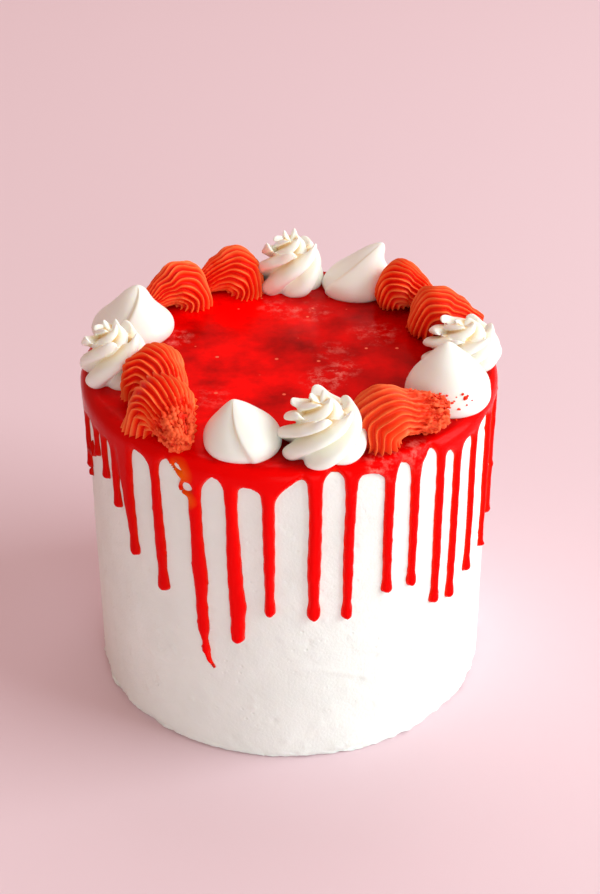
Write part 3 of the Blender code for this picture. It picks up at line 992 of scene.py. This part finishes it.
def make_rosette(node, cup_arms, bud_arms, cup_twist, bud_twist, lean_heading, lean, widening, seed):
    """A wide open cup of arms with a narrower bud inside it, made one skin."""
    _, width, _, height = box_of(node)
    radius = width / 2 * widening
    draw = random.Random(seed)
    cup = pipe_star(node + "_cream", cup_arms, radius, height, CUP_RINGS, CUP_FOLD, (0, 0.86), cup_twist,
                    (0.05, 0.19), draw.uniform(0, 60), draw)
    bud = pipe_star(node + "_bud", bud_arms, radius * BUD_SHARE, height, BUD_RINGS, BUD_FOLD, (0.25, 0.85),
                    bud_twist, (0.0, 0.15), draw.uniform(0, 90), draw)
    piece = one_skin(cup, bud)
    points = points_of(piece)
    up = np.clip(points[:, 2] / height, 0, 1)
    drift = math.radians(lean_heading)
    points[:, 0] += lean * MM * up**2 * math.cos(drift)
    points[:, 1] += lean * MM * up**2 * math.sin(drift)
    points += 0.2 * MM * rough(points, 6 * MM, seed)[:, None] * normals_of(piece)
    set_points(piece, points)
    return piece


SKIN_VOXEL = 0.36 * MM


def drop_loose_bits(piece):
    """Keeps only what hangs together with the lowest vertex."""
    lowest = int(points_of(piece)[:, 2].argmin())
    bpy.ops.object.mode_set(mode="EDIT")
    bpy.ops.mesh.select_mode(type="VERT")
    bpy.ops.mesh.select_all(action="DESELECT")
    bpy.ops.object.mode_set(mode="OBJECT")
    piece.data.vertices[lowest].select = True
    bpy.ops.object.mode_set(mode="EDIT")
    bpy.ops.mesh.select_linked()
    bpy.ops.mesh.select_all(action="INVERT")
    bpy.ops.mesh.delete(type="VERT")
    bpy.ops.object.mode_set(mode="OBJECT")


def one_skin(piece, other):
    """Joins two pieces, and makes one closed skin of them with a Remesh modifier of fine voxels."""
    deselect_all()
    piece.select_set(True)
    other.select_set(True)
    bpy.context.view_layer.objects.active = piece
    bpy.ops.object.join()
    tree = KDTree(len(piece.data.vertices))
    for index, vertex in enumerate(piece.data.vertices):
        tree.insert(vertex.co, index)
    tree.balance()
    hollow = numbers_of(piece, "hollow")
    skin = piece.modifiers.new("one_skin", "REMESH")
    skin.mode = "VOXEL"
    skin.voxel_size = SKIN_VOXEL
    bpy.ops.object.modifier_apply(modifier=skin.name)
    drop_loose_bits(piece)
    soften = piece.modifiers.new("soften", "SMOOTH")
    soften.factor = 0.5
    soften.iterations = 3
    bpy.ops.object.modifier_apply(modifier=soften.name)
    store_numbers(piece, "hollow", [hollow[tree.find(vertex.co)[1]] for vertex in piece.data.vertices])
    bpy.ops.object.shade_smooth()
    return piece


rosettes = {node: make_rosette(node, *how) for node, how in ROSETTES.items()}
print("rosettes:", len(rosettes))

# %% [markdown]
# ## Cream as a material
#
# The piped cream is softer and smoother than the buttercream on the side. It is white on its crests, and deep
# in the grooves it is painted a warm straw colour: painted shade, for light that has passed through fat and
# bounced about in the groove. The colour follows the attribute `hollow`, which is 1 in the middle of a groove
# and 0 on an arm.


# %% Piped white cream
def make_cream():
    material, tree, output = new_material("piped_white_cream")
    place = add_node(tree, "ShaderNodeTexCoord").outputs["Object"]
    hollow = add_node(tree, "ShaderNodeAttribute", attribute_name="hollow").outputs["Fac"]
    # Painted shade: the straw colour deep in the grooves and folds stands for light bounced and passed through
    # the fat.
    colour = add_node(tree, "ShaderNodeValToRGB", {"Fac": hollow},
                      stops=[(0.0, "#FAFCF4"), (0.45, "#F8F6E6"), (1.0, "#E8C480")])
    # 1500 per metre is a grain of 0.7 mm.
    grain = add_node(tree, "ShaderNodeTexNoise", {"Vector": place}, {"Scale": 1500.0, "Detail": 2.0})
    bump = add_node(tree, "ShaderNodeBump", {"Height": grain.outputs["Fac"]},
                    {"Strength": 0.15, "Distance": 0.0001})
    shader = add_node(tree, "ShaderNodeBsdfPrincipled",
                      {"Base Color": colour.outputs["Color"], "Normal": bump.outputs["Normal"]},
                      {"Roughness": 0.42, "IOR": 1.45, "Subsurface Weight": 0.3, "Subsurface Scale": 0.002,
                       "Subsurface Radius": (1.0, 0.75, 0.45)})
    tree.links.new(shader.outputs["BSDF"], output.inputs["Surface"])
    return material


cream = make_cream()
for node, piece in rosettes.items():
    stand_on_glaze(piece, node)
    finish_piece(piece, cream, "piped_cream", node)

# %% [markdown]
# ## White dollops
#
# A dollop is piped with a plain round nozzle held still and then flicked away, so it is a smooth dome with a
# leaning tip and one soft fold where the last of the cream laid itself over the rest.

# %% Model the dollops
DOLLOP_SIDES = 64
# Height and radius of each ring as shares of the whole.
DOLLOP_RINGS = [(0.04, 0.96), (0.14, 1.0), (0.26, 0.99), (0.38, 0.93), (0.50, 0.82), (0.61, 0.68), (0.71, 0.54),
                (0.80, 0.40), (0.87, 0.29), (0.93, 0.19), (0.975, 0.11), (0.995, 0.05), (1.0, 0.01)]
# The same for a dollop whose end was pulled up into a long peak.
PEAKED_RINGS = [(0.04, 0.97), (0.13, 1.02), (0.24, 1.0), (0.34, 0.92), (0.43, 0.80), (0.51, 0.68), (0.59, 0.57),
                (0.67, 0.48), (0.75, 0.40), (0.83, 0.33), (0.90, 0.25), (0.955, 0.16), (0.99, 0.07), (1.0, 0.01)]
# node: rings, heading of the tip, lean in mm, heading of the fold, depth of the fold, its swirl in degrees
DOLLOPS = {
    "dollop_1": (PEAKED_RINGS, 5, 10.0, 225, 0.10, 50),
    "dollop_2": (DOLLOP_RINGS, 100, 3.0, 15, 0.03, 25),
    "dollop_3": (DOLLOP_RINGS, 165, 3.0, 268, 0.10, -40),
    "dollop_4": (PEAKED_RINGS, 20, 3.0, 262, 0.13, 60),
}


def make_dollop(node, rings, tip_heading, lean, fold_heading, fold, swirl):
    _, width, depth, height = box_of(node)
    piece = start_ring(node + "_cream", DOLLOP_SIDES, width / 2 * 0.88, (0, 0, 0))
    last_height, last_share = 0.0, 0.88
    tip = math.radians(tip_heading)
    for ring_height, share in rings:
        grow = share / last_share
        drift = lean * MM * (ring_height**2.2 - last_height**2.2)
        middle = lean * MM * ring_height**2.2
        extrude_ring(
            piece,
            ring_height,
            slide=(drift * math.cos(tip), drift * math.sin(tip), (ring_height - last_height) * height),
            centre=(middle * math.cos(tip), middle * math.sin(tip), ring_height * height),
            grow=(grow, grow, 1),
        )
        last_height, last_share = ring_height, share
    finish_mesh(piece, 2)
    points = points_of(piece)
    up = np.clip(points[:, 2] / height, 0, 1)
    middle = np.stack([np.cos(tip) * up**2.2, np.sin(tip) * up**2.2], 1) * lean * MM
    across = points[:, :2] - middle
    angle = np.arctan2(across[:, 1], across[:, 0])
    angle = angle - math.radians(fold_heading) - math.radians(swirl) * (up - 0.5)
    angle = (angle + np.pi) % (2 * np.pi) - np.pi
    # One side of the fold stands out and the other is pressed in, and both fade away round the dome.
    step = np.tanh(angle / 0.06) * np.exp(-np.abs(angle) / 0.9)
    strength = fold * np.clip(up * 3, 0.35, 1)
    points[:, :2] = middle + across * (1 + strength * step)[:, None]
    points[:, 1] *= depth / width
    points += 0.35 * MM * rough(points, 9 * MM, fold_heading)[:, None] * normals_of(piece)
    set_points(piece, points)
    # Along the fold, where the cream's material paints a straw-coloured shade.
    store_numbers(piece, "hollow", 0.55 * np.exp(-((angle / 0.07) ** 2)) * np.clip(up * 2, 0, 1))
    return piece


for node, how in DOLLOPS.items():
    piece = make_dollop(node, *how)
    stand_on_glaze(piece, node)
    finish_piece(piece, cream, "piped_cream", node)

# %% [markdown]
# ## Red shells
#
# A shell is piped with a nozzle that has many fine teeth. The cream is pressed down into a round head, and the
# bag is then drawn over and down to one side, so every tooth leaves a sharp rib that starts at the foot of the
# head, climbs over it and runs into the tail. A toothed ring is laid flat for the head. It is then extruded
# and turned, a few degrees at a time, about a hinge at the tail, like the plates of an armadillo.

# %% Model the shells
TOOTH_COLUMNS = 6
TOOTH_SECTION = [0.0, 0.10, 0.46, 1.0, 0.46, 0.10]
# How deep the nozzle's teeth cut, as a share of the radius.
TOOTH_BITE = 0.25
# The head: degrees turned about the hinge, and the size of the ring there.
HEAD_RINGS = [(6, 1.03), (15, 1.06), (25, 1.06), (35, 1.04), (45, 1.0), (55, 0.95), (65, 0.89), (75, 0.83),
              (85, 0.77), (94, 0.72), (101, 0.68)]
TAIL_RINGS = 7
# node: teeth, heading of the tail, sideways curl in degrees, size of the tail's end, its roughness,
# how pale the whole shell is, seed
SHELLS = {
    "ruffle_1": (22, -30, 20, 0.35, 0.3, 0.0, 1),
    "ruffle_2": (22, -5, 20, 0.35, 0.3, 0.1, 2),
    "ruffle_3": (22, 16, 24, 0.58, 2.1, 0.4, 3),
    "ruffle_4": (24, -62, -14, 0.34, 1.7, 0.0, 4),
    "ruffle_5": (22, -45, -14, 0.35, 0.3, 0.0, 5),
    "ruffle_6": (20, 205, 14, 0.35, 0.4, 0.0, 6),
    "ruffle_7": (20, 190, 14, 0.35, 0.4, 0.0, 7),
}


def make_shell(node, teeth, curl, tail_size, roughness, paleness, seed, length, width, height):
    """A shell whose tail points along +X, in its real size."""
    sides = teeth * TOOTH_COLUMNS
    draw = random.Random(seed)
    radius = length / 3.1
    hinge = radius * 1.06

    def toothed(around, place):
        column = round(around * sides) % TOOTH_COLUMNS
        factor = 1 - TOOTH_BITE * (1 - TOOTH_SECTION[column])
        return Vector((place.x * factor, place.y * factor, place.z))

    piece = start_ring(node + "_shell", sides, radius, (0, 0, 0))
    shape_ring(piece, toothed)
    last_turn, last_size = 0.0, 1.0
    steps = len(HEAD_RINGS) + TAIL_RINGS
    for step, (turned, size) in enumerate(HEAD_RINGS):
        wave = 5.5 * math.sin(step * 1.0 + seed)
        grow = size / last_size
        extrude_ring(
            piece,
            (step + 1) / steps,
            centre=(hinge, 0, 0),
            grow=(grow, grow * (1 + draw.uniform(-0.02, 0.02)), grow),
            turns=[("Y", turned - last_turn), ("Z", curl / steps + wave)],
        )
        last_turn, last_size = turned, size
    for step in range(TAIL_RINGS):
        size = HEAD_RINGS[-1][1] + (tail_size - HEAD_RINGS[-1][1]) * ((step + 1) / TAIL_RINGS) ** 1.2
        wave = 4.0 * math.sin((step + len(HEAD_RINGS)) * 1.0 + seed)
        grow = size / last_size
        hinge += radius * 0.16
        extrude_ring(
            piece,
            (len(HEAD_RINGS) + step + 1) / steps,
            slide=(radius * 0.16, 0, 0),
            centre=(hinge, 0, 0),
            grow=(grow, grow, grow),
            turns=[("Y", 3), ("Z", curl / steps + wave)],
        )
        last_size = size
    # The broken end: the ring is drawn in to a blunt face.
    for shrink, slide in ((0.86, 0.12), (0.72, 0.12), (0.5, 0.09), (0.2, 0.02)):
        extrude_ring(piece, 1.0, slide=(radius * slide, 0, 0), centre=(hinge, 0, last_size * radius * 0.9),
                     grow=(shrink, shrink, shrink))
    finish_mesh(piece, 2)
    points = points_of(piece)
    low, high = points.min(0), points.max(0)
    points -= ((low + high) / 2 * (1, 1, 0))
    points *= np.array([length, width, height]) / (high - low * (1, 1, 0))
    along = numbers_of(piece, "along")
    start = 0.52 + 0.08 * rough(points, 8 * MM, seed + 4)
    crumble = np.clip((along - start) / 0.3, 0, 1) * roughness
    for axis in range(3):
        points[:, axis] += 1.1 * MM * rough(points, 7.5 * MM, seed + 20 + 3 * axis)
    # Torn flakes have sharp edges, so the noise is folded about zero.
    flakes = 0.45 - 1.5 * np.abs(rough(points * (0.6, 1, 1), 2.6 * MM, seed))
    lumps = flakes + rough(points, 0.8 * MM, seed + 9) * 0.5 + rough(points, 5 * MM, seed + 6) * 0.5
    points += (lumps * crumble * MM + 0.12 * MM * rough(points, 3 * MM, seed))[:, None] * normals_of(piece)
    points[:, 2] = np.maximum(points[:, 2], 0)
    set_points(piece, points)
    phase = numbers_of(piece, "around") * teeth
    crest = (0.5 - 0.5 * np.cos(2 * np.pi * phase)) ** 1.5
    store_numbers(piece, "crest", crest * (1 - np.clip(0.5 * crumble, 0, 0.8)))
    broken = np.clip((crumble - 0.7) / 0.8, 0, 1) * np.clip(0.5 + lumps, 0, 0.8)
    store_numbers(piece, "broken", np.maximum(broken, paleness))
    return piece


# The size of each shell: length along its heading, width and height in mm.
SHELL_SIZES = {
    "ruffle_1": (27, 24, 20.5),
    "ruffle_2": (30, 24, 20),
    "ruffle_3": (36, 28, 21),
    "ruffle_4": (34, 30, 22),
    "ruffle_5": (27, 28, 20.5),
    "ruffle_6": (29, 24, 19),
    "ruffle_7": (29, 24, 20),
}
shells = {}
for node, (teeth, heading, curl, tail_size, roughness, paleness, seed) in SHELLS.items():
    size = [v * MM for v in SHELL_SIZES[node]]
    shells[node] = make_shell(node, teeth, curl, tail_size, roughness, paleness, seed, *size)
    stand_on_glaze(shells[node], node, heading)
print("shells:", len(shells))

# %% [markdown]
# ## Red buttercream as a material
#
# The shells are the white buttercream with red colour beaten in. It is matt. Its colour follows an attribute
# that is 1 on a rib and 0 in a valley: the thin ribs are painted a pale coral, a painted highlight where they
# catch the light, and the valleys a deep scarlet, painted shade.


# %% Piped red buttercream
def make_red_cream():
    material, tree, output = new_material("piped_red_buttercream")
    place = add_node(tree, "ShaderNodeTexCoord").outputs["Object"]
    crest = add_node(tree, "ShaderNodeAttribute", attribute_name="crest").outputs["Fac"]
    # Painted highlight on the ribs, painted shade in the valleys.
    ribbed = add_node(tree, "ShaderNodeValToRGB", {"Fac": crest},
                      stops=[(0.0, "#EC1000"), (0.45, "#FF3608"), (1.0, "#FF7A3C")])
    broken = add_node(tree, "ShaderNodeAttribute", attribute_name="broken").outputs["Fac"]
    colour = add_node(tree, "ShaderNodeMix", {"Factor": broken, "A": ribbed.outputs["Color"]},
                      {"B": linear("#FA6634")}, data_type="RGBA")
    # 1100 per metre is a grain of 0.9 mm.
    grain = add_node(tree, "ShaderNodeTexNoise", {"Vector": place}, {"Scale": 1100.0, "Detail": 3.0})
    bump = add_node(tree, "ShaderNodeBump", {"Height": grain.outputs["Fac"]},
                    {"Strength": 0.4, "Distance": 0.0002})
    shader = add_node(tree, "ShaderNodeBsdfPrincipled",
                      {"Base Color": colour.outputs["Result"], "Normal": bump.outputs["Normal"]},
                      {"Roughness": 0.55, "IOR": 1.45, "Specular IOR Level": 0.3})
    tree.links.new(shader.outputs["BSDF"], output.inputs["Surface"])
    return material


red_cream = make_red_cream()
for node, piece in shells.items():
    finish_piece(piece, red_cream, "piped_red_buttercream", node)

# %% [markdown]
# ## Crumbs
#
# Where a shell's tail broke off, crumbs of the red buttercream lie about and stick to the dollop beside it.
# Each crumb is a small ball, resized unevenly and dented by noise.

# %% Scatter the crumbs
# x, y and size in mm.
CRUMB_SPOTS = [
    (65.3, -44.3, 1.8), (66.3, -43.4, 1.1), (64.4, -43.6, 1.0), (66.0, -45.0, 0.8), (60.4, -45.7, 1.2),
    (61.3, -45.4, 0.7), (63.1, -46.1, 1.2), (62.3, -46.3, 0.8), (58.6, -44.2, 0.9), (58.0, -45.0, 1.2),
    (68.0, -43.6, 0.6), (62.0, -44.6, 0.6), (57.0, -44.4, 1.5), (56.0, -43.4, 1.0), (59.4, -46.4, 1.3),
]


# A height in metres above every topping.
DROP_HEIGHT = 0.2


def make_crumbs(ground):
    """Dented little balls, dropped straight down onto the pieces under them."""
    deselect_all()
    bpy.context.view_layer.update()
    graph = bpy.context.evaluated_depsgraph_get()
    draw = random.Random(4)
    crumbs = []
    for x, y, size in CRUMB_SPOTS:
        hits = []
        for piece in ground:
            above = Vector((x * MM, y * MM, DROP_HEIGHT))
            hit, point, _, _ = piece.ray_cast(above, Vector((0, 0, -1)), depsgraph=graph)
            if hit:
                hits.append(point.z)
        bpy.ops.mesh.primitive_ico_sphere_add(
            subdivisions=3, radius=size * MM / 2, location=(x * MM, y * MM, max(hits) + size * 0.2 * MM)
        )
        crumb = bpy.context.object
        dents = (draw.uniform(0.8, 1.3), draw.uniform(0.8, 1.3), draw.uniform(0.6, 0.9))
        bpy.ops.transform.resize(value=dents)
        bpy.ops.object.transform_apply(location=True, rotation=True, scale=True)
        points = points_of(crumb)
        points += 0.3 * size * MM * rough(points, 0.8 * MM, size)[:, None] * normals_of(crumb)
        set_points(crumb, points)
        crumbs.append(crumb)
    deselect_all()
    for crumb in crumbs:
        crumb.select_set(True)
    bpy.context.view_layer.objects.active = crumbs[0]
    bpy.ops.object.join()
    crumbs[0].name = "crumbs"
    bpy.ops.object.shade_smooth()
    store_numbers(crumbs[0], "crest", np.full(len(crumbs[0].data.vertices), 0.35))
    return crumbs[0]


crumbs = make_crumbs([bpy.data.objects["dollop_2_cream"], shells["ruffle_3"], glaze])
finish_piece(crumbs, red_cream, "piped_red_buttercream")

# %% [markdown]
# ## Floor, light and camera
#
# The cake stands on a sheet of pale pink paper that fills the view. A large soft light like a window stands at
# the right, so the right side is nearly white and the left side falls into a warm shade.

# %% Floor
def make_floor():
    deselect_all()
    bpy.ops.mesh.primitive_plane_add(size=40.0, location=(0, 0, 0))
    floor = bpy.context.object
    floor.name = "pink_paper"
    material, tree, output = new_material("pale_pink_paper")
    shader = add_node(tree, "ShaderNodeBsdfPrincipled", None,
                      {"Base Color": linear("#EAD1DA"), "Roughness": 0.9, "Specular IOR Level": 0.1})
    tree.links.new(shader.outputs["BSDF"], output.inputs["Surface"])
    floor.data.materials.append(material)
    floor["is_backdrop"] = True


make_floor()

# %% Light
def add_area_light(name, place, aim, size, power, colour):
    """A square soft light at a place, turned to its aim."""
    data = bpy.data.lights.new(name, "AREA")
    data.shape = "SQUARE"
    data.size = size
    data.energy = power
    data.color = linear(colour)[:3]
    light = bpy.data.objects.new(name, data)
    light.location = place
    light.rotation_euler = (Vector(aim) - Vector(place)).to_track_quat("-Z", "Y").to_euler()
    bpy.context.scene.collection.objects.link(light)


add_area_light("window", (2.0, -0.3, 1.1), (0, 0, 0.08), 1.7, 57.0, "#F2FFFF")
add_area_light("front_fill", (0.35, -2.0, 0.55), (0, 0, 0.06), 1.2, 12.0, "#DCFFFF")
add_area_light("back_fill", (0.1, 1.3, 2.1), (0, 0.5, 0), 1.4, 12.0, "#FFFAFF")
world = bpy.data.worlds.new("studio_air")
world.use_nodes = True
air = world.node_tree
# The surroundings light the cake with a dim warm light. The camera sees them as pale pink instead.
warm_light = air.nodes["Background"]
warm_light.inputs["Color"].default_value = linear("#FFD4C2")
warm_light.inputs["Strength"].default_value = 0.47
pink_wall = add_node(air, "ShaderNodeBackground", None, {"Color": linear("#E8C4CA"), "Strength": 1.0})
rays = add_node(air, "ShaderNodeLightPath")
seen = add_node(air, "ShaderNodeMixShader", {"Fac": rays.outputs["Is Camera Ray"]})
air.links.new(warm_light.outputs["Background"], seen.inputs[1])
air.links.new(pink_wall.outputs["Background"], seen.inputs[2])
air.links.new(seen.outputs["Shader"], air.nodes["World Output"].inputs["Surface"])
bpy.context.scene.world = world
bpy.context.scene.view_settings.view_transform = "Standard"

# %% Camera
camera_data = bpy.data.cameras.new("camera")
camera_data.lens = 72.48
camera_data.sensor_width = 36.0
camera = bpy.data.objects.new("camera", camera_data)
camera.location = (0.00425, -0.6173, 0.4829)
camera.rotation_euler = (math.radians(57.85), 0, 0)
bpy.context.scene.collection.objects.link(camera)
bpy.context.scene.camera = camera

# %% Sizes of the solids and of what is drawn
look_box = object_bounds()
for name, (low, high) in (("solids", cad_box), ("looks", look_box)):
    print(name, [round(v / MM, 1) for v in low], [round(v / MM, 1) for v in high])
